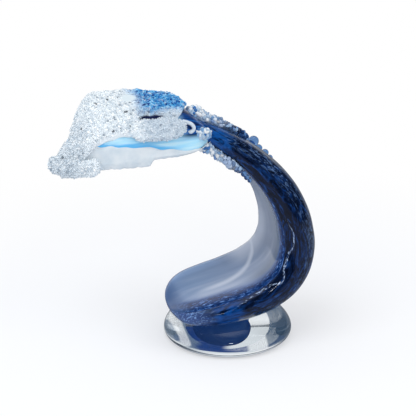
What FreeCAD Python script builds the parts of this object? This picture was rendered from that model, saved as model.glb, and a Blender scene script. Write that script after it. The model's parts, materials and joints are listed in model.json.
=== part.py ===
import FreeCAD, Part
import math
import os
import random

import Sketcher
from FreeCAD import Vector

# A hot-worked glass wave on a clear foot. The foot's flat base lies on z = 0 and its centre is the
# origin. The wave lies in the plane y = 0: a thick tongue rests on the foot, sweeps up on the +X side
# and throws its crest back towards -X. All lengths are millimetres.

SIZES = {
    # clear foot
    "foot_radius": 55.0,
    "foot_belly_height": 7.0,
    "foot_shoulder_radius": 48.0,
    "foot_shoulder_height": 19.5,
    "foot_height": 29.8,
    "foot_fillet": 12.0,
    "pontil_radius": 12.0,
    "pontil_depth": 1.2,
    # wave slab
    "seat_depth": 8.0,
    "wave_span": 110.0,
    "wave_rise": 166.0,
    "slab_width": 90.0,
    "slab_thickness": 39.0,
    "face_dish": 6.0,
    "veil_thickness": 1.6,
    # crest sheet, thrown back from the slab's tip
    "crest_reach": 100.0,
    "crest_rise": 14.0,
    "crest_span": 68.0,
    "crest_drop": 31.0,
    "crest_thickness": 6.0,
    "lip_height": 8.0,
    "lip_bulge": 1.4,
    # crushed glass and beads
    "foam_chip": 5.2,
    "frit_chip": 5.0,
    "trail_chip": 5.4,
    "bead_radius": 4.2,
    "seat_clearance": 0.2,
}

doc = FreeCAD.newDocument("glass_wave")
sizes = doc.addObject("Spreadsheet::Sheet", "Sizes")
for row, (size_name, value) in enumerate(SIZES.items(), start=1):
    sizes.set(f"A{row}", size_name)
    sizes.set(f"B{row}", str(value))
    sizes.setAlias(f"B{row}", size_name)
doc.recompute()


def size(name):
    return float(sizes.get(name))


def named(kind, name):
    made = doc.addObject(kind, name)
    made.Label = name
    return made


def shaped(name, shape):
    made = named("Part::Feature", name)
    made.Shape = shape
    made.Placement = FreeCAD.Placement()
    return made


def blend(rows, place):
    """Row values at a place between rows, on a smooth curve through the rows."""
    last = len(rows) - 1
    first = max(0, min(int(place), last - 1))
    part = place - first
    picks = [max(0, min(first + step, last)) for step in (-1, 0, 1, 2)]
    mixed = []
    for p0, p1, p2, p3 in zip(*(rows[pick] for pick in picks)):
        slope = (p2 - p0) / 2
        next_slope = (p3 - p1) / 2
        rise = p2 - p1
        cubic = slope + next_slope - 2 * rise
        square = 3 * rise - 2 * slope - next_slope
        mixed.append(p1 + part * (slope + part * (square + part * cubic)))
    return mixed


def shared_knots(rows):
    """Curve parameters from the total spacing of the points, so that all rows have the same."""
    knots = [0.0]
    columns = list(zip(*rows))
    for points, ahead in zip(columns, columns[1:]):
        knots.append(knots[-1] + sum((b - a).Length for a, b in zip(points, ahead)))
    return knots


def sheet_loft(name, outlines):
    """A solid through outlines with corners, one list of sides each, every side a list of points."""
    sides = [(side_rows, shared_knots(side_rows)) for side_rows in zip(*outlines)]
    sections = []
    for count in range(len(outlines)):
        edges = []
        for side_rows, knots in sides:
            curve = Part.BSplineCurve()
            curve.interpolate(Points=side_rows[count], Parameters=knots)
            edges.append(curve.toShape())
        sections.append(shaped(f"{name}_section_{count}", Part.Wire(edges)))
    made = named("Part::Loft", name)
    made.Sections = sections
    made.Solid = True
    made.Ruled = False
    return made


def cut(name, base, *tools):
    """Takes each tool from the base; the last cut carries the name."""
    for count, tool in enumerate(tools, start=1):
        made = named("Part::Cut", name if count == len(tools) else f"{name}_less_{count}")
        made.Base = base
        made.Tool = tool
        base = made
    return base


# Foot: a thick clear disc with a round belly and a low dome, turned about the upright axis. Its base
# is ground flat, with the shallow hollow left where the pontil rod was knocked off.


def build_foot_form():
    body = named("PartDesign::Body", "foot_form")
    sketch = body.newObject("Sketcher::SketchObject", "foot_profile")
    plane = next(f for f in body.Origin.OriginFeatures if f.Role == "XZ_Plane")
    sketch.AttachmentSupport = [(plane, "")]
    sketch.MapMode = "FlatFace"

    # corners of the half profile, anticlockwise: name, distance out, height
    corners = [
        ("hollow", "0", "Sizes.pontil_depth"),
        ("ground", "Sizes.pontil_radius", "0"),
        ("base", "Sizes.foot_radius - Sizes.foot_belly_height", "0"),
        ("belly", "Sizes.foot_radius", "Sizes.foot_belly_height"),
        ("shoulder", "Sizes.foot_shoulder_radius", "Sizes.foot_shoulder_height"),
        ("crown", "0", "Sizes.foot_height"),
    ]
    found = sketch.evalExpression
    place = {name: Vector(float(found(out)), float(found(up)), 0) for name, out, up in corners}

    def arc(start, end, upright):
        """An arc from start to end, centred level with the belly, or on the axis if upright."""
        chord = end - start
        level = size("foot_belly_height")
        if upright:
            middle_height = (chord.dot(start + end) / 2) / chord.y
            centre = Vector(0, middle_height, 0)
        else:
            out = (chord.dot(start + end) / 2 - chord.y * level) / chord.x
            centre = Vector(out, level, 0)
        circle = Part.Circle(centre, Vector(0, 0, 1), (start - centre).Length)
        return Part.ArcOfCircle(circle, circle.parameter(start), circle.parameter(end))

    sketch.addGeometry(
        [
            Part.LineSegment(place["hollow"], place["ground"]),
            Part.LineSegment(place["ground"], place["base"]),
            arc(place["base"], place["belly"], False),
            arc(place["belly"], place["shoulder"], False),
            arc(place["shoulder"], place["crown"], True),
            Part.LineSegment(place["crown"], place["hollow"]),
        ],
        False,
    )
    start, end, centre, across_axis, up_axis = 1, 2, 3, -1, -2
    constrain = Sketcher.Constraint
    for edge, (_, out, up) in enumerate(corners):
        following = (edge + 1) % len(corners)
        sketch.addConstraint(constrain("Coincident", edge, end, following, start))
        for direction, rule, axis in (("DistanceX", out, up_axis), ("DistanceY", up, across_axis)):
            if rule == "0":
                sketch.addConstraint(constrain("PointOnObject", edge, start, axis))
            else:
                held = constrain(direction, across_axis, start, edge, start, float(found(rule)))
                sketch.setExpression(f"Constraints[{sketch.addConstraint(held)}]", rule)
    lower_arc, upper_arc, crown_arc = 2, 3, 4
    for edge in (lower_arc, upper_arc):
        level = constrain("DistanceY", across_axis, start, edge, centre, size("foot_belly_height"))
        made = sketch.addConstraint(level)
        sketch.setExpression(f"Constraints[{made}]", "Sizes.foot_belly_height")
    sketch.addConstraint(constrain("PointOnObject", crown_arc, centre, up_axis))

    turned = body.newObject("PartDesign::Revolution", "foot_turned")
    turned.Profile = sketch
    turned.ReferenceAxis = (sketch, ["V_Axis"])
    turned.Angle = 360.0
    doc.recompute()

    near_enough = size("pontil_depth")

    def is_shoulder(edge):
        at = edge.CenterOfMass
        off = abs(edge.Length / (2 * math.pi) - size("foot_shoulder_radius"))
        return off + abs(at.z - size("foot_shoulder_height")) < near_enough

    names = [f"Edge{count}" for count, edge in enumerate(turned.Shape.Edges, 1) if is_shoulder(edge)]
    softened = body.newObject("PartDesign::Fillet", "foot_shoulder")
    softened.Base = (turned, names)
    softened.setExpression("Radius", "Sizes.foot_fillet")
    return body


# Wave slab: a thick ribbon of glass along a centre line, from the tongue's nose to the tip under the
# crest. Each row holds: centre x in wave spans, lift in wave rises, width share, thickness share, and
# cant in quarter turns, which raises the tongue's far rim over its near one.
WAVE_SHARES = [
    (-0.473, 0.033, 0.16, 0.10, 0.030),
    (-0.445, 0.014, 0.52, 0.30, 0.030),
    (-0.386, 0.002, 0.78, 0.46, 0.032),
    (-0.264, 0.000, 0.97, 0.61, 0.034),
    (-0.091, 0.002, 1.00, 0.73, 0.034),
    (0.100, 0.016, 1.00, 0.83, 0.030),
    (0.273, 0.048, 0.96, 0.92, 0.024),
    (0.409, 0.112, 0.90, 0.99, 0.016),
    (0.477, 0.218, 0.84, 0.97, 0.008),
    (0.477, 0.336, 0.80, 0.92, 0.000),
    (0.432, 0.456, 0.75, 0.86, 0.000),
    (0.345, 0.577, 0.66, 0.77, 0.000),
    (0.225, 0.686, 0.57, 0.66, 0.000),
    (0.071, 0.793, 0.46, 0.54, 0.000),
    (-0.073, 0.868, 0.37, 0.45, 0.000),
    (-0.200, 0.930, 0.29, 0.36, 0.000),
    (-0.310, 1.000, 0.18, 0.24, 0.000),
]

# Cross-section of the slab, from one rim round the outer side to the other, and back over the dished
# face. Each row holds: across in slab widths, height in slab thicknesses, share of the dish taken off.
OUTER_SHARES = [
    (0.43, 0.46, 0.00),
    (0.490, 0.28, 0.00),
    (0.500, 0.06, 0.00),
    (0.465, -0.19, 0.00),
    (0.37, -0.38, 0.00),
    (0.20, -0.48, 0.00),
    (0.00, -0.50, 0.00),
]
FACE_SHARES = [
    (0.43, 0.46, 0.00),
    (0.34, 0.50, 0.30),
    (0.18, 0.50, 0.80),
    (0.00, 0.50, 1.00),
]


def wave_row(place):
    """Centre, way across, inward normal, width and thickness share at a place along the rows."""
    floor = size("foot_height") - size("seat_depth")

    def centre(at):
        across, lift, _, thick, _ = blend(WAVE_SHARES, at)
        half = thick * size("slab_thickness") / 2
        return Vector(across * size("wave_span"), 0, floor + half + lift * size("wave_rise"))

    half_row = 0.5
    ahead = centre(min(place + half_row, len(WAVE_SHARES) - 1))
    behind = centre(max(place - half_row, 0))
    tangent = (ahead - behind).normalize()
    _, _, wide, thick, cant = blend(WAVE_SHARES, place)
    level, upright = Vector(0, 1, 0), Vector(-tangent.z, 0, tangent.x)
    cos, sin = math.cos(cant * math.pi / 2), math.sin(cant * math.pi / 2)
    across = level * cos + upright * sin
    inward = upright * cos - level * sin
    return centre(place), across, inward, wide * size("slab_width"), thick


def wave_point(place, across_share, height_share, dish_share=0.0, lift=0.0):
    """A point of the slab's cross-section; the dished face is the side with positive height."""
    centre, across, inward, width, thick = wave_row(place)
    height = thick * (height_share * size("slab_thickness") - dish_share * size("face_dish"))
    return centre + across * (across_share * width) + inward * (height + lift)


def across_section(half):
    """A whole side of the section, from the far rim to the near one, out of its far half."""
    return half + [(-across, *rest) for across, *rest in reversed(half[:-1])]


def slab_section(row, face_depths):
    """The outer side and the dished face, or two depths of the face, of one section of the slab."""
    sides = []
    for depth in face_depths:
        if depth is None:
            outline, lift = across_section(OUTER_SHARES), 0
        else:
            outline, lift = across_section(FACE_SHARES), -depth * VEIL_ROW_SHARES[row]
        last = len(outline) - 1
        side = []
        for count, (across, height, dish) in enumerate(outline):
            at_rim = count in (0, last)
            side.append(wave_point(row, across, height, dish, 0 if at_rim else lift))
        sides.append(side)
    there, back = sides
    return [there, back[::-1]]


# The pale veil is thickest along the middle of its length and feathers out at both ends.
VEIL_ROW_SHARES = [0.15, 0.6] + [1.0] * 11 + [0.8, 0.6, 0.4, 0.15]


def build_slab():
    """The slab's whole form, the body under the veil, and the veil itself."""
    veil = size("veil_thickness")
    rows = range(len(WAVE_SHARES))
    form = sheet_loft("wave_form", [slab_section(row, (None, 0.0)) for row in rows])
    body = sheet_loft("wave_body", [slab_section(row, (None, veil)) for row in rows])
    skin = sheet_loft("face_veil", [slab_section(row, (0.0, veil)) for row in rows])
    return form, body, skin


# Crest: a thin sheet thrown back from the slab's tip. Each row holds: distance back from the tip in
# crest reaches, ridge rise in crest rises, span share, drop share, yaw in quarter turns, lean of the
# near side away from the slab for each length it falls, and thickness share. The first row starts inside the slab.
CREST_SHARES = [
    (-0.16, -0.60, 0.14, 0.20, -0.30, 0.00, 0.30),
    (-0.04, 0.10, 0.46, 0.58, -0.22, 0.00, 0.65),
    (0.09, 0.74, 0.82, 0.90, -0.06, 0.00, 1.00),
    (0.33, 0.98, 0.95, 1.00, 0.05, 0.05, 1.00),
    (0.56, 1.05, 1.00, 1.06, 0.13, 0.20, 1.00),
    (0.73, 1.08, 0.99, 1.08, 0.17, 0.40, 0.85),
    (0.87, 1.08, 0.94, 0.98, 0.19, 0.66, 0.55),
]

# Arched profile of the sheet, from its far edge over the ridge to its near lip: across in spans,
# fall in drops.
ARCH_SHARES = [
    (0.50, 0.08),
    (0.32, 0.00),
    (0.08, 0.00),
    (-0.16, 0.08),
    (-0.35, 0.26),
    (-0.46, 0.60),
    (-0.50, 1.00),
]


def slab_tip():
    return wave_row(len(WAVE_SHARES) - 1)[0]


def crest_point(place, along, lift=0.0):
    """A point over the middle of the sheet; along runs over the arch's rows, lift is square to it."""
    back, rise, span, drop, yaw, lean, _ = blend(CREST_SHARES, place)
    turn = yaw * math.pi / 2
    far = Vector(math.sin(turn), math.cos(turn), 0)

    def arch(at):
        across, fall = blend(ARCH_SHARES, at)
        return across * span * size("crest_span"), fall * drop * size("crest_drop")

    half_row = 0.5
    across, fall = arch(along)
    before = arch(along - half_row)
    after = arch(along + half_row)
    run = math.hypot(after[0] - before[0], after[1] - before[1])
    ridge = slab_tip() + Vector(-back * size("crest_reach"), 0, rise * size("crest_rise"))
    across -= lift * (after[1] - before[1]) / run
    fall += lift * (after[0] - before[0]) / run
    return ridge + far * across - Vector(lean, 0, 1) * fall


def build_crest_form():
    rows = []
    last = len(ARCH_SHARES) - 1
    for row, shares in enumerate(CREST_SHARES):
        half = shares[-1] * size("crest_thickness") / 2
        over = [crest_point(row, along, half) for along in range(last + 1)]
        under = [crest_point(row, along, -half) for along in range(last, -1, -1)]
        rows.append([over, [over[-1], under[0]], under, [under[-1], over[0]]])
    return sheet_loft("crest_form", rows)


# The opal lip is trailed along the sheet's near edge and hangs below it. Each row goes with a row of
# the crest and holds height share and bulge share.
LIP_SHARES = [
    (0.10, 0.1),
    (0.15, 0.2),
    (0.25, 0.4),
    (0.85, 0.9),
    (0.90, 1.0),
    (1.35, 1.0),
    (0.80, 0.6),
]


def build_lip_form():
    rows = []
    edge = len(ARCH_SHARES) - 1
    for row, (tall, bulge) in enumerate(LIP_SHARES):
        half = CREST_SHARES[row][-1] * size("crest_thickness") / 2
        outer = crest_point(row, edge, half)
        inner = crest_point(row, edge, -half)
        out = (outer - inner).normalize() * (bulge * size("lip_bulge"))
        down = Vector(0, 0, -tall * size("lip_height"))
        corners = [outer, outer + out + down / 2, (outer + inner) / 2 + down, inner + down / 2, inner]
        rows.append([list(side) for side in zip(corners, corners[1:] + corners[:1])])
    return sheet_loft("lip_form", rows)


# Crushed glass: each bank is a crowd of angular chips fused into lumps, lying on the hot glass under
# it. Banks keep clear of each other: a chip that would touch one of an earlier bank is left out.
CHIP_SIDES = 4
CHIP_FOOT_SHARE = 0.90
CHIP_BELLY_SHARE = 0.55
CHIP_TOP_SHARE = 1.20
CHIP_PEAK_SHARE = 0.25
CHIP_REACH_SHARE = 0.90
CHIP_SKEW = 0.13
CHIP_SIZE_SHARES = (0.82, 1.16)
PATCH_UNEVEN = 0.22
TRAIL_TAPER = 0.45
BEAD_SIDES = 9
BEAD_RINGS = 6
crowd = []


def seated(point, ground):
    """The nearest point of the ground's surface, and the way out from it to the given point."""
    _, pairs, _ = Part.Vertex(point).distToShape(ground.Shape)
    seat = pairs[0][1]
    out = (point - seat).normalize()
    return seat + out * size("seat_clearance"), out


def stone(layers):
    """A closed faceted solid through layers of corners, each a ring or a single peak."""
    faces = [layer for layer in (layers[0], layers[-1]) if len(layer) > 1]
    for below, above in zip(layers, layers[1:]):
        sides = max(len(below), len(above))
        for side in range(sides):
            here, ahead = side, (side + 1) % sides
            if len(below) > 1:
                faces.append([below[here], below[ahead], above[here % len(above)]])
            if len(above) > 1:
                faces.append([above[here], above[ahead], below[ahead % len(below)]])
    made = Part.Solid(Part.Shell([Part.Face(Part.makePolygon(f + f[:1])) for f in faces]))
    if made.Volume < 0:
        made.reverse()
    return made


def chip(seat, out, radius, draw):
    """An uneven stone: a flat foot square to out, a wider belly and a blunt peak."""
    turn = FreeCAD.Rotation(Vector(0, 0, 1), out)
    spin = draw.uniform(0, 360)

    def corner(side, height, reach):
        angle = math.radians(spin + 360 / CHIP_SIDES * (side + draw.uniform(-CHIP_SKEW, CHIP_SKEW)))
        far = radius * reach * draw.uniform(*CHIP_SIZE_SHARES)
        return seat + turn.multVec(
            Vector(far * math.cos(angle), far * math.sin(angle), radius * height)
        )

    belly = CHIP_BELLY_SHARE * draw.uniform(*CHIP_SIZE_SHARES)
    return stone(
        [
            [corner(side, 0, CHIP_FOOT_SHARE) for side in range(CHIP_SIDES)],
            [corner(side + 0.5, belly, 1) for side in range(CHIP_SIDES)],
            [corner(0, CHIP_TOP_SHARE * draw.uniform(*CHIP_SIZE_SHARES), CHIP_PEAK_SHARE)],
        ]
    )


def bead(centre, radius):
    """A round drop, in facets."""
    layers = []
    for ring in range(BEAD_RINGS + 1):
        tilt = math.pi * (ring / BEAD_RINGS - 0.5)
        reach, rise = radius * math.cos(tilt), radius * math.sin(tilt)
        sides = BEAD_SIDES if 0 < ring < BEAD_RINGS else 1
        turns = [2 * math.pi * (side + ring / 2) / BEAD_SIDES for side in range(sides)]
        layers.append(
            [centre + Vector(reach * math.cos(turn), reach * math.sin(turn), rise) for turn in turns]
        )
    return stone(layers)


def bank(name, spots, ground, draw):
    """Chips seated at the given points with the given radii, clear of the earlier banks."""
    earlier = list(crowd)
    pieces = []
    for point, radius in spots:
        seat, out = seated(point, ground)
        middle = seat + out * (radius * CHIP_BELLY_SHARE)
        reach = radius * CHIP_REACH_SHARE
        if all((middle - other).Length > reach + other_reach for other, other_reach in earlier):
            crowd.append((middle, reach))
            pieces.append(chip(seat, out, radius, draw))
    return shaped(name, pieces[0].multiFuse(pieces[1:]))


def patch(counts, draw):
    """Shares over a patch, in rows and columns with some unevenness."""
    for i in range(counts[0]):
        for j in range(counts[1]):
            u = (i + 0.5 + draw.uniform(-PATCH_UNEVEN, PATCH_UNEVEN)) / counts[0]
            v = (j + 0.5 + draw.uniform(-PATCH_UNEVEN, PATCH_UNEVEN)) / counts[1]
            yield u, v


def crest_bank(name, chip_size, counts, places, alongs, ground):
    """Chips over a patch of the sheet between two places and two arch rows."""
    draw = random.Random(name)
    spots = []
    for u, v in patch(counts, draw):
        place = places[0] + u * (places[1] - places[0])
        along = alongs[0] + v * (alongs[1] - alongs[0])
        radius = size(chip_size) * draw.uniform(*CHIP_SIZE_SHARES)
        spots.append((crest_point(place, along, size("crest_thickness")), radius))
    return bank(name, spots, ground, draw)


def lip_bank(name, chip_size, counts, places, ground):
    """Chips over the near side of the lip between two places of the sheet."""
    draw = random.Random(name)
    spots = []
    edge = len(ARCH_SHARES) - 1
    for u, v in patch(counts, draw):
        place = places[0] + u * (places[1] - places[0])
        radius = size(chip_size) * draw.uniform(*CHIP_SIZE_SHARES)
        down = Vector(0, 0, -(1 - v) * size("lip_height"))
        spots.append((crest_point(place, edge, size("crest_thickness")) + down, radius))
    return bank(name, spots, ground, draw)


def slab_trail(name, counts, places, corners, ground):
    """Chips along the slab that grow smaller, spread between two corners of its cross-section."""
    draw = random.Random(name)
    spots = []
    (first_across, first_height), (last_across, last_height) = corners
    for u, v in patch(counts, draw):
        place = places[0] + u * (places[1] - places[0])
        radius = size("trail_chip") * (1 - TRAIL_TAPER * u) * draw.uniform(*CHIP_SIZE_SHARES)
        across = first_across + v * (last_across - first_across)
        height = first_height + v * (last_height - first_height)
        spots.append((wave_point(place, across, height), radius))
    return bank(name, spots, ground, draw)


# Beads of clear glass: place along the slab, radius share, across share, height share.
OUTER_BEAD_SHARES = [
    (13.02, 0.70, 0.46, -0.54),
    (12.72, 0.95, 0.48, -0.52),
    (12.42, 0.70, 0.46, -0.54),
    (12.14, 0.90, 0.48, -0.51),
    (11.84, 0.55, 0.50, -0.48),
    (11.62, 0.60, 0.44, -0.56),
    (11.30, 0.62, 0.48, -0.50),
    (11.02, 0.45, 0.46, -0.52),
]
INNER_BEAD_SHARES = [
    (12.42, 0.60, 0.20, 0.60),
    (12.15, 0.55, 0.22, 0.60),
    (11.90, 0.50, 0.20, 0.60),
    (11.66, 0.42, 0.22, 0.60),
    (11.44, 0.36, 0.21, 0.60),
]


def beads(name, shares, ground):
    balls = []
    for place, radius_share, across, height in shares:
        seat, out = seated(wave_point(place, across, height), ground)
        radius = radius_share * size("bead_radius")
        centre = seat + out * radius
        if all((centre - other).Length > radius + reach for other, reach in crowd):
            balls.append(bead(centre, radius))
    return shaped(name, balls[0].multiFuse(balls[1:]))


# Assembly, in the order in which the glass was gathered and trailed on.
foot_form = build_foot_form()
wave_form, wave_body, face_veil = build_slab()
crest_form = build_crest_form()
lip_form = build_lip_form()

foot = cut("foot", foot_form, wave_form)
crest_sheet = cut("crest_sheet", crest_form, wave_form)
opal_lip = cut("opal_lip", lip_form, wave_form)
doc.recompute()

pieces = [
    foot,
    wave_body,
    face_veil,
    crest_sheet,
    opal_lip,
    slab_trail("outer_frit", (14, 3), (15.9, 12.9), ((0.46, -0.46), (0.10, -0.56)), wave_form),
    slab_trail("inner_frit", (13, 5), (15.8, 12.7), ((0.30, 0.58), (-0.46, 0.52)), wave_form),
    crest_bank("far_frit", "frit_chip", (8, 6), (1.7, 3.0), (0.0, 2.6), crest_sheet),
    crest_bank("top_foam", "foam_chip", (14, 10), (3.1, 6.0), (0.1, 4.8), crest_sheet),
    crest_bank("front_foam", "foam_chip", (9, 5), (1.5, 3.3), (2.9, 4.8), crest_sheet),
    lip_bank("lip_foam", "frit_chip", (8, 4), (4.5, 6.0), opal_lip),
    beads("outer_beads", OUTER_BEAD_SHARES, wave_form),
    beads("inner_beads", INNER_BEAD_SHARES, wave_form),
]
doc.recompute()

for made in doc.Objects:
    if "Invalid" in made.State or "Error" in made.State:
        raise RuntimeError(f"{made.Label} failed: {made.State}")
for piece in pieces:
    if piece.Shape.isNull() or not piece.Shape.isValid() or piece.Shape.Volume <= 0:
        raise RuntimeError(f"{piece.Label} has no valid shape")

os.makedirs("parts", exist_ok=True)
for piece in pieces:
    piece.Shape.exportStep(os.path.join("parts", f"{piece.Label}.step"))
    box = piece.Shape.BoundBox
    print(
        f"{piece.Label}: {len(piece.Shape.Solids)} solids, {piece.Shape.Volume:.0f} mm3,"
        f" {box.XLength:.1f} x {box.YLength:.1f} x {box.ZLength:.1f} mm"
    )
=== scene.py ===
# %% [markdown]
# # A hot-worked glass wave
# The object is a glass ornament: a thick ribbon of dark cobalt glass that lies on a clear foot, sweeps
# up behind and throws a thin pale crest forward, capped with crushed glass. Every piece was gathered,
# trailed or rolled on while hot, so nearly every form is a smooth flowing one, and only the crushed
# glass has facets. The lesson follows the glassmaker's order: foot, wave, veil, crest, lip, crushed
# glass and beads, then the light.

import json
import math

import bpy
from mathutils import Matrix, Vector, noise

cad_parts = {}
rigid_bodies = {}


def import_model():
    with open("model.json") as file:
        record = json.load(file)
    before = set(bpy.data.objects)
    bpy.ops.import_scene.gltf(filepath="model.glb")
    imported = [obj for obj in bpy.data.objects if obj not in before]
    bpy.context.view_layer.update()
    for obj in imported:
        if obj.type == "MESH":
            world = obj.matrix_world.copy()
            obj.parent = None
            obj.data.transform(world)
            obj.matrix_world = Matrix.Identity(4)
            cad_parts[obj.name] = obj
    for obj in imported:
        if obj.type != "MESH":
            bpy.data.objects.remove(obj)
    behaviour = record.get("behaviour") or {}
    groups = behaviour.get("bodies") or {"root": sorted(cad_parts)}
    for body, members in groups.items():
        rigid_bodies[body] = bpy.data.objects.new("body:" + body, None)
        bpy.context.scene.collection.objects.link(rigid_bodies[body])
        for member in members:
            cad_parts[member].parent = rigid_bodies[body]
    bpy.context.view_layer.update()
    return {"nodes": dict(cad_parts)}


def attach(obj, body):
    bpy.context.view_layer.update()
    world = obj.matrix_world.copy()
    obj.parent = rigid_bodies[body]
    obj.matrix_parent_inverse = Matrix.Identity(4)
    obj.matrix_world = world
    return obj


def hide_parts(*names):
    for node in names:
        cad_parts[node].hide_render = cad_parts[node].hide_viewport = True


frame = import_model()
bpy.ops.object.select_all(action="DESELECT")
print("CAD nodes:", sorted(frame["nodes"]))

# %% [markdown]
# ## Small helpers
# All sizes are written in millimetres and turned to metres in one place. Colours are written as sRGB
# hex values, as a designer would pick them, and one function makes them linear for the shaders.

# %% Millimetres, colours and nodes
MM = 0.001


def mm(*lengths):
    return Vector(length * MM for length in lengths)


def linear(hex_colour):
    """An sRGB hex colour as the linear values that a shader takes, with an alpha of 1."""
    channels = [int(hex_colour[at : at + 2], 16) / 255 for at in (1, 3, 5)]
    return [c / 12.92 if c <= 0.04045 else ((c + 0.055) / 1.055) ** 2.4 for c in channels] + [1.0]


def add(tree, kind, settings=None, inputs=None):
    """A node with its settings; an input takes a value, a hex colour or another node's output."""
    node = tree.nodes.new(kind)
    for name, value in (settings or {}).items():
        setattr(node, name, value)
    for name, value in (inputs or {}).items():
        if isinstance(value, bpy.types.NodeSocket):
            tree.links.new(value, node.inputs[name])
        else:
            is_colour = isinstance(value, str) and value.startswith("#")
            node.inputs[name].default_value = linear(value) if is_colour else value
    return node


def stops(ramp_node, colours):
    """Sets a colour ramp from a list of (place, hex colour)."""
    ramp = ramp_node.color_ramp
    while len(ramp.elements) < len(colours):
        ramp.elements.new(0.5)
    for element, (place, colour) in zip(ramp.elements, colours):
        element.position = place
        element.color = linear(colour)
    return ramp_node.outputs["Color"]


def material(name):
    made = bpy.data.materials.new(name)
    made.use_nodes = True
    made.node_tree.nodes.clear()
    return made, made.node_tree


def finish_material(made, shader):
    add(made.node_tree, "ShaderNodeOutputMaterial", inputs={"Surface": shader.outputs[0]})
    print(made.name, len(made.node_tree.nodes), "nodes")


# %% [markdown]
# ## Helpers for the forms
# Two operators carry most of the modelling. A ring is drawn and pulled out step by step, as a gather
# of glass is pulled, and a modifier is applied at once, so that each piece ends as a plain mesh.

# %% Selecting, applying and pulling a ring out
def tell(thing):
    print(thing.name, len(thing.data.polygons), "faces")


def only(thing):
    bpy.ops.object.select_all(action="DESELECT")
    thing.select_set(True)
    bpy.context.view_layer.objects.active = thing


def apply_modifier(thing, kind, **settings):
    only(thing)
    made = thing.modifiers.new(kind.title(), kind)
    for name, value in settings.items():
        setattr(made, name, value)
    bpy.ops.object.modifier_apply(modifier=made.name)
    return thing


def smooth(thing, levels):
    return apply_modifier(thing, "SUBSURF", levels=levels, render_levels=levels)


def pull_out(name, section, stations):
    """Draws a closed section and extrudes it up from station to station: (height, width, depth)."""
    bpy.ops.mesh.primitive_circle_add(vertices=len(section), radius=1, fill_type="NGON")
    made = bpy.context.object
    made.name = made.data.name = name
    height, width, depth = stations[0]
    for corner, (across, up) in zip(made.data.vertices, section):
        corner.co = (across * width, up * depth, height)
    bpy.ops.object.mode_set(mode="EDIT")
    bpy.ops.mesh.select_all(action="SELECT")
    for next_height, next_width, next_depth in stations[1:]:
        step = {"value": (0, 0, next_height - height)}
        bpy.ops.mesh.extrude_region_move(TRANSFORM_OT_translate=step)
        bpy.ops.transform.resize(
            value=(next_width / width, next_depth / depth, 1), center_override=(0, 0, next_height)
        )
        height, width, depth = next_height, next_width, next_depth
    bpy.ops.mesh.select_all(action="SELECT")
    bpy.ops.mesh.normals_make_consistent(inside=False)
    bpy.ops.object.mode_set(mode="OBJECT")
    return made


def stands_for(piece, node, finish):
    """The piece rides on the part's one body and is shown instead of the CAD node."""
    piece.name = piece.data.name = node + "_glass"
    piece.data.materials.clear()
    piece.data.materials.append(finish)
    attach(piece, "root")
    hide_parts(node)
    low, high = (Vector(corner) for corner in (piece.bound_box[0], piece.bound_box[6]))
    print(piece.name, len(piece.data.polygons), "faces, mm:", [round(v / MM, 1) for v in (*low, *high)])


# %% [markdown]
# ## The foot
# The foot is a thick disc of clear glass, pressed flat while soft, so its side bellies out in a round
# and its base ring is ground flat round a shallow pontil hollow. It could be a lathe turning with
# Spin. Here one ring is pulled out from the hollow, over the ground ring and the belly, to the crown,
# which gives even quads for the Subdivision Surface. The wave's tongue sinks into it, because the two
# fused, and so the clear glass shows the blue above it.

# %% Foot
FOOT_SIDES = 64
# height and diameter, from the pontil hollow round the belly to the crown
FOOT_RINGS = [
    (0.5, 6), (0.45, 12), (0.25, 20), (0.05, 25), (0.0, 27), (0.0, 60), (0.0, 90), (0.0, 96),
    (0.6, 100.5), (2.8, 106.4), (7.0, 110.2), (12.0, 107.4), (17.2, 100.6), (22.0, 89.5), (25.6, 74.0),
    (28.0, 54.0), (29.2, 34.0), (29.7, 16), (29.8, 5),
]


def ring_section(sides):
    turns = [2 * math.pi * side / sides for side in range(sides)]
    return [(math.cos(turn) / 2, math.sin(turn) / 2) for turn in turns]


foot = pull_out(
    "foot", ring_section(FOOT_SIDES), [(up * MM, wide * MM, wide * MM) for up, wide in FOOT_RINGS]
)
smooth(foot, 2)
bpy.ops.object.shade_smooth()
tell(foot)

# %% [markdown]
# ## The wave
# The wave is one thick ribbon. It is made as the glassmaker makes it: drawn out straight, wide and
# flat at the tongue and narrow at the tip, and then bent. The straight bar is a rounded section with a
# dished face, pulled out from station to station. Its straight places are kept in two attributes, flow
# and share, so that colour can follow the glass round the bend. A Curve modifier then bends it.

# %% The line that the wave follows
# centre x and z, width, thickness, and the tilt in degrees that lifts the far rim
SLAB_ROWS = [
    (-52.0, 29.2, 14.4, 3.9, 2.7), (-49.0, 30.0, 46.8, 11.7, 2.7), (-42.5, 31.1, 70.2, 17.9, 2.9),
    (-29.0, 33.7, 87.3, 23.8, 3.1), (-10.0, 36.4, 90.0, 28.5, 3.1), (11.0, 40.6, 90.0, 32.4, 2.7),
    (30.0, 47.7, 86.4, 35.9, 2.2), (45.0, 59.7, 81.0, 38.6, 1.4), (52.5, 76.9, 75.6, 37.8, 0.7),
    (52.5, 95.5, 72.0, 35.9, 0.0), (47.5, 114.3, 67.5, 33.5, 0.0), (37.9, 132.6, 59.4, 30.0, 0.0),
    (24.8, 148.5, 51.3, 25.7, 0.0), (7.8, 164.0, 41.4, 21.1, 0.0), (-8.0, 174.7, 33.3, 17.6, 0.0),
    (-22.0, 183.2, 26.1, 14.0, 0.0), (-34.1, 192.5, 16.2, 9.4, 0.0),
]
LINE_STEPS = 12

bpy.ops.curve.primitive_bezier_curve_add()
wave_line = bpy.context.object
wave_line.data.twist_mode = "MINIMUM"
wave_line.data.resolution_u = LINE_STEPS
wave_line.data.splines[0].bezier_points.add(len(SLAB_ROWS) - 2)
for knot, (x, z, _, _, tilt) in zip(wave_line.data.splines[0].bezier_points, SLAB_ROWS):
    knot.co = mm(x, 0, z)
    knot.handle_left_type = knot.handle_right_type = "AUTO"
    knot.tilt = math.radians(tilt)

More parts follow.
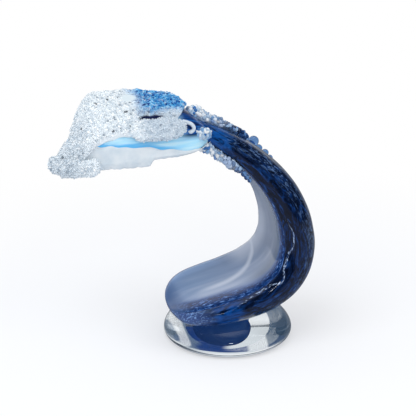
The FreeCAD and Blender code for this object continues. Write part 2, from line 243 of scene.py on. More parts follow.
line_mesh = wave_line.to_mesh()
travelled = [0.0]
for here, ahead in zip(line_mesh.vertices, line_mesh.vertices[1:]):
    travelled.append(travelled[-1] + (ahead.co - here.co).length)
wave_line.to_mesh_clear()
slab_stops = travelled[::LINE_STEPS]
print("the wave is", round(slab_stops[-1] / MM), "mm long, straightened out")

# %% The straight bar and its dished face
# its far half, from the middle of the back to the middle of the face: shares of width and thickness
FAR_HALF = [
    (0.00, -0.512), (0.20, -0.49), (0.375, -0.39), (0.475, -0.20), (0.512, 0.06), (0.502, 0.29),
    (0.44, 0.475), (0.34, 0.455), (0.18, 0.38), (0.00, 0.345),
]
# its near half, which falls away in a softer round: from the face down to the back
NEAR_HALF = [
    (0.18, 0.375), (0.33, 0.42), (0.43, 0.385), (0.495, 0.245), (0.512, 0.04), (0.475, -0.20),
    (0.375, -0.39), (0.20, -0.49),
]
VEIL_EDGE = 0.45  # share of the width within which a corner belongs to the dished face
WAVE_LEVELS = 3

slab_section = FAR_HALF + [(-across, up) for across, up in NEAR_HALF]
wave = pull_out(
    "wave",
    slab_section,
    [(stop, wide * MM, deep * MM) for stop, (_, _, wide, deep, _) in zip(slab_stops, SLAB_ROWS)],
)

# The faces between the two rims get the second material slot, which marks them through the smoothing.
wave.data.materials.append(bpy.data.materials.new("body_mark"))
wave.data.materials.append(bpy.data.materials.new("veil_mark"))
shares = wave.data.attributes.new("share", "FLOAT_VECTOR", "POINT")
for corner, kept in zip(wave.data.vertices, shares.data):
    stop = min(range(len(slab_stops)), key=lambda at: abs(slab_stops[at] - corner.co.z))
    _, _, wide, deep, _ = SLAB_ROWS[stop]
    kept.vector = (corner.co.x / (wide * MM), corner.co.y / (deep * MM), corner.co.z / slab_stops[-1])
for face in wave.data.polygons:
    corners = [shares.data[at].vector for at in face.vertices]
    is_side = len({round(c.z, 4) for c in corners}) == 2
    on_face = min(c.y for c in corners) > 0 and max(abs(c.x) for c in corners) < VEIL_EDGE
    face.material_index = int(is_side and on_face)

smooth(wave, WAVE_LEVELS)
flow = wave.data.attributes.new("flow", "FLOAT_VECTOR", "POINT")
straight = [0.0] * (3 * len(wave.data.vertices))
wave.data.vertices.foreach_get("co", straight)
flow.data.foreach_set("vector", straight)

# %% Bend it along the line
apply_modifier(wave, "CURVE", object=wave_line, deform_axis="POS_Z")
bpy.ops.object.shade_smooth()
print("veil faces:", sum(face.material_index for face in wave.data.polygons))

# %% [markdown]
# ## The veil
# The dished face carries a thin casing of milky lilac-grey glass over the dark body. It is a real
# layer on the object, so it is a real layer here: the marked faces are copied off the bar, thickened
# inwards, and the body under them is sunk by as much, so the veil lies flush between the two rims.

# %% Veil
VEIL_DEPTH = 1.5 * MM

only(wave)
bpy.ops.object.mode_set(mode="EDIT")
bpy.ops.mesh.select_all(action="DESELECT")
bpy.ops.object.mode_set(mode="OBJECT")
for face in wave.data.polygons:
    face.select = face.material_index == 1
bpy.ops.object.mode_set(mode="EDIT")
bpy.ops.mesh.duplicate()
bpy.ops.mesh.separate(type="SELECTED")
bpy.ops.object.mode_set(mode="OBJECT")
veil = next(thing for thing in bpy.context.selected_objects if thing is not wave)
only(wave)
for face in wave.data.polygons:
    face.select = face.material_index == 1
bpy.ops.object.mode_set(mode="EDIT")
bpy.ops.mesh.select_less()
bpy.ops.transform.shrink_fatten(value=-VEIL_DEPTH)
bpy.ops.object.mode_set(mode="OBJECT")
apply_modifier(veil, "SOLIDIFY", thickness=VEIL_DEPTH, offset=-1)
bpy.ops.object.shade_smooth()
tell(veil)

# %% [markdown]
# ## The crest
# From the wave's tip a thin sheet of pale aqua glass is thrown back and left to arch under its own
# weight. A grid is the natural start for a sheet: its columns run along the throw and its rows over
# the arch. Each corner is laid on the arch of its row, and Solidify and Subdivision do the rest.

# %% Crest rows
# ridge x and z, span, drop, turn in degrees, lean of the near side for each length it falls, thickness
CREST_ROWS = [
    (-18.1, 184.1, 9.5, 6.2, -27.0, 0.00, 1.8), (-30.1, 193.9, 31.3, 18.0, -19.8, 0.00, 3.9),
    (-43.1, 202.8, 55.8, 27.9, -5.4, 0.00, 6.0), (-67.1, 206.2, 64.6, 31.0, 4.5, 0.05, 6.0),
    (-90.1, 207.2, 68.0, 32.9, 11.7, 0.20, 6.0), (-107.1, 207.6, 67.3, 33.5, 15.3, 0.40, 5.1),
    (-121.1, 207.6, 63.9, 30.4, 17.1, 0.66, 3.3),
]
# the arch from its far edge to its near one: across in spans, fall in drops
ARCH = [
    (0.50, 0.08), (0.32, 0.0), (0.08, 0.0), (-0.16, 0.08), (-0.35, 0.26), (-0.46, 0.60), (-0.50, 1.0),
]
# where the thrown end stops: place over the arch, place along the throw
THROWN_END = [
    (0.0, 5.84), (1.5, 5.84), (1.85, 6.16), (3.4, 6.18), (4.3, 5.98), (4.8, 5.85), (5.4, 5.98),
    (6.0, 6.08),
]


def between(table, at):
    """The values of a table whose first column is a place, on straight lines between its rows."""
    for (start, *low), (end, *high) in zip(table, table[1:]):
        if at <= end:
            part = max(0, (at - start) / (end - start))
            return [a + part * (b - a) for a, b in zip(low, high)]
    return list(table[-1][1:])


def blend(table, place):
    """The values of a table at a place between its rows, on a smooth curve through them."""
    first = max(0, min(int(place), len(table) - 2))
    part = place - first
    picks = [table[max(0, min(first + step, len(table) - 1))] for step in (-1, 0, 1, 2)]
    mixed = []
    for before, here, ahead, after in zip(*picks):
        slope, next_slope, rise = (ahead - before) / 2, (after - here) / 2, ahead - here
        square, cubic = 3 * rise - 2 * slope - next_slope, slope + next_slope - 2 * rise
        mixed.append(here + part * (slope + part * (square + part * cubic)))
    return mixed


def crest_middle(place, along):
    x, z, span, drop, turn, lean, _ = blend(CREST_ROWS, place)
    across, fall = blend(ARCH, along)
    turn = math.radians(turn)
    far = Vector((math.sin(turn), math.cos(turn), 0))
    return (Vector((x, 0, z)) + far * across * span - Vector((lean, 0, 1)) * fall * drop) * MM


def crest_point(place, along, lift=0.0):
    """A point at a place along the throw and over the arch; lift in mm is square to the sheet."""
    step = 0.05
    middle = crest_middle(place, along)
    throw = crest_middle(place + step, along) - crest_middle(place - step, along)
    over = crest_middle(place, along + step) - crest_middle(place, along - step)
    return middle + throw.cross(over).normalized() * lift * MM


def lay_sheet(name, columns, rows, point, attribute):
    """A grid whose corners are laid by point(u, v); u and v from 0 to 1 are kept in the attribute."""
    bpy.ops.mesh.primitive_grid_add(x_subdivisions=columns, y_subdivisions=rows, size=1)
    made = bpy.context.object
    made.name = made.data.name = name
    places = made.data.attributes.new(attribute, "FLOAT_VECTOR", "POINT")
    for corner, kept in zip(made.data.vertices, places.data):
        u, v = corner.co.x + 0.5, corner.co.y + 0.5
        kept.vector = (u, v, 0)
        corner.co = point(u, v)
    return made


# %% Crest sheet
SHEET_THICK = 6  # mm, at its thickest
last_row, last_arch = len(CREST_ROWS) - 1, len(ARCH) - 1


def sheet_corner(u, v):
    torn = 0.05 * math.sin(17 * v) + 0.03 * math.sin(41 * v + 1)  # the thrown end is a little ragged
    end = between(THROWN_END, v * last_arch)[0] - 0.06
    return crest_point(u * (last_row + (end + torn - last_row) * u**4), v * last_arch)


crest = lay_sheet("crest", 36, 24, sheet_corner, "sheet")
crest_thickness = crest.vertex_groups.new(name="thickness")
for corner, kept in zip(crest.data.vertices, crest.data.attributes["sheet"].data):
    thick = blend(CREST_ROWS, kept.vector.x * last_row)[-1]
    crest_thickness.add([corner.index], thick / SHEET_THICK, "REPLACE")
apply_modifier(crest, "SOLIDIFY", thickness=SHEET_THICK * MM, offset=0, vertex_group="thickness")
smooth(crest, 2)
bpy.ops.object.shade_smooth()
tell(crest)

# %% [markdown]
# ## The opal lip
# Along the near edge hangs a thick trail of translucent white opal. It tapers back towards the wave
# and ends there in a torn step. It is a short sheet laid from the crest's edge downwards.

# %% Opal lip
# place along the crest, where the lip starts over the arch, and how far in mm it hangs below the edge
LIP = [
    (0.4, 5.9, 0.6), (1.0, 5.9, 1.0), (1.8, 5.85, 1.6), (2.4, 5.65, 2.9), (3.0, 5.40, 3.4),
    (3.08, 5.37, 8.7), (3.6, 5.24, 8.0), (4.25, 5.12, 6.8), (4.6, 5.05, 7.2), (4.87, 4.9, 11.5),
    (5.3, 4.8, 12.4), (5.6, 4.8, 13.5), (5.8, 4.8, 9.0), (6.0, 4.8, 4.6),
]
LIP_THICK = 3.4 * MM
LIP_WRAP = 0.45  # this share of the rows lies over the sheet, and the rest hangs free


def lip_corner(u, v):
    place = LIP[0][0] + u * (LIP[-1][0] - LIP[0][0])
    start, hang = between(LIP, place)
    hang += 0.9 * noise.noise((place * 9, 0, 0)) * min(1, hang / 4)
    if v < LIP_WRAP:
        waver = 0.10 * noise.noise((place * 3, 7, 0)) * (1 - v / LIP_WRAP)
        return crest_point(place, start + waver + (last_arch - start) * v / LIP_WRAP, 3.5 + 0.4 * v)
    down = (v - LIP_WRAP) / (1 - LIP_WRAP)
    edge = crest_point(place, last_arch, 3.7 - 3.1 * down**2)
    return edge - Vector((0, 0, hang * MM * down))


lip = lay_sheet("lip", 150, 12, lip_corner, "sheet")
apply_modifier(lip, "SOLIDIFY", thickness=LIP_THICK, offset=-1)
smooth(lip, 1)
bpy.ops.object.shade_smooth()
tell(lip)

# %% [markdown]
# ## Crushed glass
# The foam is crushed glass, a few millimetres across, that the hot crest was rolled in. Underneath it
# has melted into a lumpy crust, and on top the grains keep their facets. Over the sheet the crust is a
# lumpy patch laid on the arch, and on the lip and the rims it is the CAD bank remeshed soft. Geometry
# Nodes strew the grains: points on the crust, a stone of 20 or 80 faces on each, turned and stretched
# at random, and every corner nudged, so that no two are alike. It is seeded and applied, so it is the
# same mesh on every run.

# %% Crust over the sheet
# middles and half sizes in place and along: a smooth frosty patch without grains, and the slit,
# which is painted dark navy as shade
FROSTY, SLIT = (3.68, 2.1, 0.34, 0.62), (3.05, 3.86, 0.40, 0.22)
# how far down the arch a patch reaches: place, along; and how much an oval patch is rounded off
HEMS = {
    "top_foam": [
        (2.9, 4.0), (3.3, 4.1), (3.42, 4.75), (4.0, 4.75), (4.45, 5.0), (4.75, 5.15), (4.95, 5.9),
        (6.2, 5.95),
    ],
    "far_frit": [(1.3, 1.3), (1.7, 2.2), (2.1, 3.4), (2.4, 4.1), (3.2, 4.1)],
}
ROUNDED = {"front_foam": 0.75}
# mm over the sheet's middle, whose skin is at 3: a patch's rim sinks into it, the slit's floor doesn't
RIM_HEIGHT, SLIT_HEIGHT = 2.6, 3.5
CRUST_THICK = 2.2 * MM


def spot_in(area, place, along):
    """1 in the middle of an oval area, falling to 0 at its rim."""
    middle, middle_along, half, half_along = area
    away = math.hypot((place - middle) / half, (along - middle_along) / half_along)
    return max(0, min(1, 2.2 * (1 - away)))


def crust(name, places, alongs, lift, cells, ragged, seed):
    """A lumpy layer of melted crushed glass over a patch of the crest; lift is its height in mm."""
    looks = {}  # frosty and slit shares of each corner

    def corner(u, v):
        shift = 0.25 * noise.noise((v * 5, seed, 0)), 0.3 * noise.noise((u * 7, seed, 5))
        hem = alongs[1] or between(HEMS[name], places[0] + ((places[1] or last_row) - places[0]) * u)[0]
        waist = 1 - ROUNDED.get(name, 0) * abs(2 * u - 1) ** 3
        along = (alongs[0] + hem) / 2 + (hem - alongs[0]) * (v - 0.5) * waist
        along += ragged * shift[1] * abs(2 * v - 1)
        end = places[1] or between(THROWN_END, along)[0]
        place = places[0] + (end - places[0]) * u + ragged * shift[0] * abs(2 * u - 1)
        rim = min(1, 9 * u * (1 - u)) ** 0.5 * min(1, 9 * v * (1 - v)) ** 0.5
        spot = crest_middle(place, along) / (6 * MM)  # lumps of 6 mm and of 2 mm
        frosty, slit = spot_in(FROSTY, place, along), spot_in(SLIT, place, along)
        lumps = (1.1 * noise.noise(spot) + 0.6 * noise.noise(spot * 2.7)) * (1 - frosty) * (1 - slit)
        looks[round(u, 4), round(v, 4)] = frosty, slit, 0
        height = RIM_HEIGHT + (lift - RIM_HEIGHT) * rim * (1 - 0.9 * slit) + lumps
        return crest_point(place, along, max(SLIT_HEIGHT * min(1, 3 * slit), height))

    made = lay_sheet(name, *cells, corner, "sheet")
    look_data = made.data.attributes.new("look", "FLOAT_VECTOR", "POINT").data
    for kept, look in zip(made.data.attributes["sheet"].data, look_data):
        look.vector = looks[round(kept.vector.x, 4), round(kept.vector.y, 4)]
    apply_modifier(made, "SOLIDIFY", thickness=CRUST_THICK, offset=-1)
    return smooth(made, 1)


# %% Crust from a CAD bank, for the trails along the wave's rims
VOXEL = 1.0 * MM


def trail(node, swell):
    """A soft copy of a CAD bank, swollen by so many mm."""
    only(frame["nodes"][node])
    bpy.ops.object.duplicate()
    made = bpy.context.object
    made.parent = None
    for key in [key for key in made.keys() if key.startswith("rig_")]:
        del made[key]
    bpy.ops.object.mode_set(mode="EDIT")
    bpy.ops.mesh.select_all(action="SELECT")
    bpy.ops.mesh.remove_doubles(threshold=0.01 * MM)
    bpy.ops.object.mode_set(mode="OBJECT")
    made.data.materials.clear()
    apply_modifier(made, "REMESH", mode="VOXEL", voxel_size=VOXEL)
    if swell:
        apply_modifier(made, "DISPLACE", strength=swell * MM, mid_level=0)
    apply_modifier(made, "SMOOTH", factor=0.8, iterations=3)
    return made


# %% Grains over it
BARE = 0.35  # more frosty or slit look than this takes no grain
MOST = 4.0e6  # grains a square metre, before the spacing thins them
FULL_TURN = 6.28
NUDGE = 0.16  # how far a corner of a grain moves, in grains
CHIPPED = (0.5, 0.5, 0.45), (1.3, 1.2, 1.0)  # the least and most that a grain is stretched
MELTED = (0.5, 0.5, 0.5), (1.3, 1.1, 1.1)


def strew(base, keep_off, off, grain, spacing, seed, facets=1, stretch=CHIPPED):
    """Covers the base with grains of that size in mm, except nearer than off to what it is fused to."""
    tree = bpy.data.node_groups.new("strew", "GeometryNodeTree")
    tree.interface.new_socket("Geometry", in_out="INPUT", socket_type="NodeSocketGeometry")
    tree.interface.new_socket("Geometry", in_out="OUTPUT", socket_type="NodeSocketGeometry")
    start = add(tree, "NodeGroupInput").outputs[0]
    painted_glow = add(tree, "GeometryNodeObjectInfo", inputs={"Object": keep_off})
    near = add(tree, "GeometryNodeProximity", inputs={"Geometry": painted_glow.outputs["Geometry"]})
    clear = add(tree, "FunctionNodeCompare", {"data_type": "FLOAT", "operation": "GREATER_THAN"},
                {"A": near.outputs["Distance"], "B": off * MM})
    look = add(tree, "GeometryNodeInputNamedAttribute", {"data_type": "FLOAT_VECTOR"}, {"Name": "look"})
    bare = add(tree, "ShaderNodeVectorMath", {"operation": "LENGTH"}, {0: look.outputs["Attribute"]})
    grainy = add(tree, "FunctionNodeCompare", {"data_type": "FLOAT", "operation": "LESS_THAN"},
                 {"A": bare.outputs["Value"], "B": BARE})
    chosen = add(tree, "FunctionNodeBooleanMath", {"operation": "AND"},
                 {0: clear.outputs[0], 1: grainy.outputs[0]})
    points = add(tree, "GeometryNodeDistributePointsOnFaces", {"distribute_method": "POISSON"},
                 {"Mesh": start, "Selection": chosen.outputs[0], "Distance Min": spacing * MM,
                  "Density Max": MOST, "Seed": seed})
    stone = add(tree, "GeometryNodeMeshIcoSphere",
                inputs={"Radius": grain / 2 * MM, "Subdivisions": facets})
    most = NUDGE / facets**2 * grain * MM
    ranges = ((0, 0, 0), [FULL_TURN] * 3), stretch, ([-most] * 3, [most] * 3)
    turn, size, nudge = (
        add(tree, "FunctionNodeRandomValue", {"data_type": "FLOAT_VECTOR"},
            {"Min": low, "Max": high, "Seed": seed + step})
        for step, (low, high) in enumerate(ranges)
    )
    placed = add(tree, "GeometryNodeInstanceOnPoints", inputs={
        "Points": points.outputs["Points"], "Instance": stone.outputs["Mesh"],
        "Rotation": turn.outputs["Value"], "Scale": size.outputs["Value"]})
    chance = add(tree, "FunctionNodeRandomValue", {"data_type": "FLOAT"}, {"Seed": seed + 3})
    tinted = add(tree, "GeometryNodeStoreNamedAttribute", {"data_type": "FLOAT", "domain": "INSTANCE"},
                 {"Geometry": placed.outputs[0], "Name": "tint", "Value": chance.outputs[1]})
    real = add(tree, "GeometryNodeRealizeInstances", inputs={"Geometry": tinted.outputs[0]})
    rough = add(tree, "GeometryNodeSetPosition",
                inputs={"Geometry": real.outputs[0], "Offset": nudge.outputs["Value"]})
    flat = add(tree, "GeometryNodeSetShadeSmooth",
               inputs={"Geometry": rough.outputs[0], "Shade Smooth": facets > 1})
    both = add(tree, "GeometryNodeJoinGeometry")
    tree.links.new(flat.outputs[0], both.inputs[0])
    tree.links.new(start, both.inputs[0])
    end = add(tree, "NodeGroupOutput")
    tree.links.new(both.outputs[0], end.inputs[0])
    apply_modifier(base, "NODES", node_group=tree)
    bpy.data.node_groups.remove(tree)
    return base


# %% [markdown]
# ## Beads
# A row of clear drops was set along each edge of the wave's upper part. Fire-polished glass pulls
# itself round, so a drop is a smooth ball that is a little flattened where it sank into the hot wave.

# %% Beads
# centre x, y, z and radius in mm
OUTER_BEADS = [
    (14.0, 19.6, 171.8, 4.6), (20.6, 20.6, 167.2, 3.4), (29.0, 23.0, 162.6, 4.2),
    (26.4, 21.6, 160.4, 3.0), (33.4, 22.8, 156.0, 3.1), (39.2, 23.0, 151.4, 3.0),
    (44.0, 24.8, 145.8, 2.6),
]
INNER_BEADS = [
    (9.5, 10.0, 146.7, 2.9), (13.4, 11.4, 142.1, 2.7), (17.0, 11.2, 138.3, 2.4),
    (19.9, 12.6, 134.4, 2.1), (22.5, 12.6, 131.4, 1.7),
]


ROUNDER = 1.06  # the CAD's bead has facets inside the ball that it stands for


def join(first, *others):
    only(first)
    for each in others:
        each.select_set(True)
    bpy.ops.object.join()
    return first


def drops(places):
    made = []
    for x, y, z, radius in places:
        bpy.ops.mesh.primitive_ico_sphere_add(
            subdivisions=4, radius=radius * ROUNDER * MM, location=mm(x, y, z)
        )
        made.append(bpy.context.object)
        bpy.ops.object.transform_apply(location=True, rotation=False, scale=False)
    join(*made)
    bpy.ops.object.shade_smooth()
    tell(made[0])
    return made[0]


outer_beads = drops(OUTER_BEADS)
inner_beads = drops(INNER_BEADS)

# %% Clear curl at the wave's end of the front foam
# x, y, z of a short thick trail that was folded back on itself
CURL = [
    (-44.5, -23.0, 198.8), (-41.0, -25.5, 198.2), (-37.6, -26.0, 196.0), (-36.4, -26.0, 193.0),
    (-38.6, -26.0, 190.6), (-42.0, -25.0, 190.4),
]
CURL_RADIUS = 1.5 * MM

bpy.ops.curve.primitive_bezier_curve_add()
curl = bpy.context.object
curl.data.splines[0].bezier_points.add(len(CURL) - 2)
for knot, place in zip(curl.data.splines[0].bezier_points, CURL):
    knot.co = mm(*place)
    knot.handle_left_type = knot.handle_right_type = "AUTO"
curl.data.bevel_depth = CURL_RADIUS
curl.data.bevel_resolution = 5
curl.data.use_fill_caps = True
bpy.ops.object.convert(target="MESH")
bpy.ops.object.shade_smooth()
tell(curl)

# %% [markdown]
# ## Finishes
# Soda-lime studio glass has an IOR near 1.5 and a fire-polished skin, almost a mirror, so its
# roughness is close to zero. Its colours are coloured glass melted into the clear. A finish could be a
# painted picture. Here it is noise and soft steps over the places that the pieces keep, so it follows
# the glass round its bends. The foot is plain clear glass, with faint cords where two gathers met.

# %% Clear glass of the foot
GLASS_IOR = 1.5


def finish_glass(made, inputs):
    shader = add(made.node_tree, "ShaderNodeBsdfPrincipled", inputs={"IOR": GLASS_IOR, **inputs})
    finish_material(made, shader)


CORDS = {"Scale": 35, "Detail": 1}  # about 30 mm apart

clear_glass, tree = material("clear_soda_lime_glass")
coords = add(tree, "ShaderNodeTexCoord").outputs["Object"]
cords = add(tree, "ShaderNodeTexNoise", inputs={"Vector": coords, **CORDS})
ripple = add(tree, "ShaderNodeBump", inputs={
    "Height": cords.outputs["Fac"], "Strength": 0.05, "Distance": 1 * MM})
finish_glass(clear_glass, {
    "Base Color": "#f2f7fa", "Roughness": 0.0, "Transmission Weight": 1.0,
    "Normal": ripple.outputs["Normal"]})


# %% Steps that the finishes share
def soft_step(tree, value, low, high):
    """A soft step from 0 at low to 1 at high; low may be the larger one."""
    return add(tree, "ShaderNodeMapRange", {"interpolation_type": "SMOOTHSTEP"},
               {"Value": value, "From Min": low, "From Max": high}).outputs[0]


def combine(tree, *shares, by="MULTIPLY"):
    """MULTIPLY leaves what all the shares have in common, and MAXIMUM the strongest of them.

    A share is a number, a node's output, or (value, low, high) for a soft step.
    """
    made, *others = (soft_step(tree, *share) if isinstance(share, tuple) else share for share in shares)
    for share in others:
        made = add(tree, "ShaderNodeMath", {"operation": by}, {0: made, 1: share}).outputs[0]
    return made


def band(tree, value, rise, fall):
    """1 between two soft steps, each given as the values where it is 0 and where it is 1."""
    return combine(tree, (value, *rise), (value, *fall))


def glaze(tree, tone, *coats):
    """Lays coats over a tone, each as its colour and the shares whose product is its cover."""
    for colour, *shares in coats:
        tone = add(tree, "ShaderNodeMix", {"data_type": "RGBA"},
                   {0: combine(tree, *shares), 6: tone, 7: colour}).outputs[2]
    return tone


# %% [markdown]
# ### Cobalt of the wave
# Powdered cobalt was melted into the gather and drawn out with it, so swirls and threads run along the
# dark ribbon, and one thin row of trapped air near its front rim. The pattern is laid on the straight
# bar's places, so it needs no unwrapping and bends with the wave.

# %% Places on the straight bar
def on_the_bar(tree):
    """Where the glass lay on the bar: its place, and its shares of the width, thickness and length."""
    flow_at, share_at = (
        add(tree, "ShaderNodeAttribute", {"attribute_name": name}).outputs["Vector"]
        for name in ("flow", "share")
    )
    return flow_at, *add(tree, "ShaderNodeSeparateXYZ", inputs={"Vector": share_at}).outputs


def streaks(tree, flow_at, draw, pattern):
    """Noise that is drawn out along the wave; draw is what is left of its scale lengthwise."""
    drawn = add(tree, "ShaderNodeMapping", inputs={"Vector": flow_at, "Scale": (1, 1, draw)}).outputs[0]
    return add(tree, "ShaderNodeTexNoise", inputs={"Vector": drawn, **pattern}).outputs["Fac"]


def past_line(tree, place, along, line, waver=0.0, sway=0.0, middle=0.0):
    """How far a place is past a smooth line through (along, place); waver, 0 to 1, sways the line.

    The curve's own range is 0 to 1, so the line lies about 0.5, and middle is what that stands for.
    """
    curve = add(tree, "ShaderNodeFloatCurve", inputs={"Value": along})
    drawn = curve.mapping.curves[0]
    for at, (start, level) in enumerate(line):
        knot = drawn.points[at] if at < 2 else drawn.points.new(0.5, 0.5)
        knot.location = (start, level - middle + 0.5)
    curve.mapping.update()
    shift = add(tree, "ShaderNodeMath", {"operation": "MULTIPLY_ADD"},
                {0: waver, 1: sway, 2: 0.5 - middle - sway / 2})
    shifted = combine(tree, place, shift.outputs[0], by="ADD")
    return combine(tree, shifted, curve.outputs[0], by="SUBTRACT")


def near_line(tree, past, width):
    """1 on the line, falling softly to 0 at that width on either side of it."""
    off = add(tree, "ShaderNodeMath", {"operation": "ABSOLUTE"}, {0: past}).outputs[0]
    return soft_step(tree, off, width, 0.0)


# %% Swirls and threads in the cobalt
# the swirls are 6 to 8 mm wide, the threads in them 2 to 3 mm
SWIRLS = {"Scale": 165, "Detail": 8, "Roughness": 0.68, "Distortion": 2.0}
THREADS = {"Scale": 380, "Detail": 5, "Roughness": 0.65, "Distortion": 2.2}
COBALT_DRAW = 0.24

cobalt_glass, tree = material("cobalt_glass_fire_polished")
flow_at, across, through, along = on_the_bar(tree)
swirl = streaks(tree, flow_at, COBALT_DRAW, SWIRLS)
thread = streaks(tree, flow_at, COBALT_DRAW, THREADS)
tone = stops(add(tree, "ShaderNodeValToRGB", inputs={"Fac": swirl}), [
    (0.40, "#040a1c"), (0.51, "#081632"), (0.60, "#0f2c5c"), (0.72, "#22508c")])

# %% Royal blue, the seat on the foot in painted light, pale flecks and the blue tip
royal = band(tree, along, (0.095, 0.125), (0.21, 0.165))
nose = soft_step(tree, along, 0.13, 0.03)
seat = combine(tree, (through, -0.30, -0.42), (along, 0.36, 0.28))
low_side = combine(tree, (through, 0.05, -0.30), 0.45)
lively = combine(tree, low_side, nose, by="MAXIMUM")
tone = glaze(
    tree, tone,
    ("#0a4186", royal, (across, -0.40, -0.46), (swirl, 0.34, 0.60)),
    # painted light: the seat is the wave's blue, painted brighter where light comes through the foot
    ("#0064be", seat, 0.9),
    ("#4f66a0", nose, 0.55),
    ("#7ba0d6", lively, (thread, 0.52, 0.62), 0.85),
    ("#104c94", (along, 0.84, 0.93), (swirl, 0.36, 0.56)),
)

# %% The row of trapped air, and the skin
# along the near rim: length share, thickness share
AIR_LINE = [
    (0.0, 0.22), (0.19, 0.29), (0.25, 0.36), (0.31, 0.32), (0.35, 0.25), (0.40, 0.34), (0.45, 0.32),
    (0.52, 0.19), (0.60, 0.26), (1.0, 0.2),
]
AIR_WIDTH = 0.022  # to either side

off_air = past_line(tree, through, along, AIR_LINE, swirl, 0.14)
air_ends = band(tree, along, (0.17, 0.20), (0.60, 0.52))
tone = glaze(tree, tone, (
    "#a9c0e4", near_line(tree, off_air, AIR_WIDTH), air_ends, (across, -0.36, -0.42),
    (thread, 0.45, 0.58), 0.9))
ripple = add(tree, "ShaderNodeBump", inputs={"Height": swirl, "Strength": 0.12, "Distance": 1 * MM})
# where it is fused to the foot it has no polished skin
skin = add(tree, "ShaderNodeMath", {"operation": "MULTIPLY_ADD"}, {0: seat, 1: 0.65, 2: 0.03})
finish_glass(cobalt_glass, {
    "Base Color": tone, "Roughness": skin.outputs[0], "Normal": ripple.outputs["Normal"]})

# %% [markdown]
# ### Milky casing
# Opal glass over cobalt looks lilac-grey where it is thick and dark where it is thin. Layers of real
# glass would be slow to light and would not bake. So its depth is painted, in soft coats that each
# cover their own part of the ribbon's length and width.

# %% Tone along the casing, haze and a painted highlight line
HAZE = {"Scale": 110, "Detail": 4, "Roughness": 0.5, "Distortion": 0.4}  # clouds of 9 mm
HAZE_DRAW = 0.12
# a painted highlight: a pale line painted where the dished face mirrors the light
# its course: station of the slab, across share
PAINTED_HIGHLIGHT_LINE = [(3.4, -0.04), (4.6, -0.02), (5.6, 0.08), (6.3, 0.22), (7.1, 0.44)]
PAINTED_HIGHLIGHT_ENDS = (2.8, 4.2), (7.8, 6.9)
PAINTED_HIGHLIGHT_WIDTH = 0.065  # to either side


def station_share(station):
    """The length share at a station between the rows of the slab."""
    row = min(int(station), len(slab_stops) - 2)
    stop = slab_stops[row] + (station - row) * (slab_stops[row + 1] - slab_stops[row])
    return stop / slab_stops[-1]


veil_glass, tree = material("lilac_grey_opal_casing")
flow_at, across, _, along = on_the_bar(tree)
haze = streaks(tree, flow_at, HAZE_DRAW, HAZE)
along_tone = stops(add(tree, "ShaderNodeValToRGB", inputs={"Fac": along}), [
    (0.02, "#6b84ab"), (0.10, "#7990b2"), (0.26, "#8798b5"), (0.42, "#838fa5"), (0.62, "#8b97ac"),
    (0.80, "#8491a7")])
painted_highlight = past_line(tree, across, along, [(station_share(at), place) for at, place in PAINTED_HIGHLIGHT_LINE])
painted_highlight_ends = band(tree, along, *([station_share(at) for at in end] for end in PAINTED_HIGHLIGHT_ENDS))
tone = glaze(
    tree, along_tone,
    ("#c9cfe0", (haze, 0.45, 0.80), 0.22),
    ("#5f7291", (haze, 0.50, 0.25), 0.20),
    # painted highlight: a pale line laid into the casing's colour
    ("#d3dbe9", near_line(tree, painted_highlight, PAINTED_HIGHLIGHT_WIDTH), painted_highlight_ends, 0.62),
)

# %% Where the casing is thick or thin
on_tongue = band(tree, along, (0.27, 0.19), (0.04, 0.11))
on_bend = band(tree, along, (0.22, 0.30), (0.66, 0.50))
tone = glaze(
    tree, tone,
    # thick on the tongue's near half, thin on the bend's near edge
    ("#b4bfd6", on_tongue, (across, 0.02, -0.14), 0.5),
    ("#50627c", (along, 0.23, 0.32), (across, 0.02, -0.26), 0.8),
    # pale at the bend's far edge, bluer at the tongue's
    ("#ccd4e4", on_bend, (across, 0.10, 0.36), 0.6),
    ("#86a9da", (along, 0.24, 0.16), (across, 0.26, 0.44), 0.4),
)

# %% The casing's near end, with the rim's own glass beyond it
# it ends short of the near rim: length share, across share
VEIL_NEAR = [
    (0.0, -0.12), (0.09, -0.25), (0.20, -0.29), (0.28, -0.33), (0.36, -0.35), (0.58, -0.34),
    (0.64, -0.32), (0.70, -0.22), (0.76, -0.10), (0.82, -0.02), (0.90, 0.06), (1.0, 0.3),
]

inside = past_line(tree, across, along, VEIL_NEAR, haze, 0.10)
thread = streaks(tree, flow_at, COBALT_DRAW, THREADS)
rim_tone = stops(add(tree, "ShaderNodeValToRGB", inputs={"Fac": thread}), [
    (0.46, "#0a2350"), (0.56, "#17407f"), (0.66, "#6a90cc")])
tone = glaze(
    tree, tone,
    ("#2a5796", (inside, 0.14, 0.0)),
    (rim_tone, (inside, 0.08, -0.01)),
    ("#3c5784", (along, 0.06, 0.01), 0.8),
)
finish_glass(veil_glass, {
    "Base Color": tone, "Roughness": 0.10})

# %% [markdown]
# ### Aqua and opal
# The sheet is faintly ribbed where it was pulled, bluer where it folds under the lip and nearly as
# dark as the wave at its root. The opal lip is cloudy. Both let a little light in, which could be
# scattering in a volume. Subsurface and a little Transmission are quicker.

# %% Aqua sheet
RIBS = {"Scale": 2.5, "Detail": 3}
RIBS_DRAW = (2.0, 12.0, 1.0)  # the sheet's own places run from 0 to 1, so the ribs are 3 to 4 mm apart
# length share, and share over the arch where the lip starts
LIP_TOP = [(place / last_row, start / last_arch) for place, start, _ in LIP[1:10:2]]

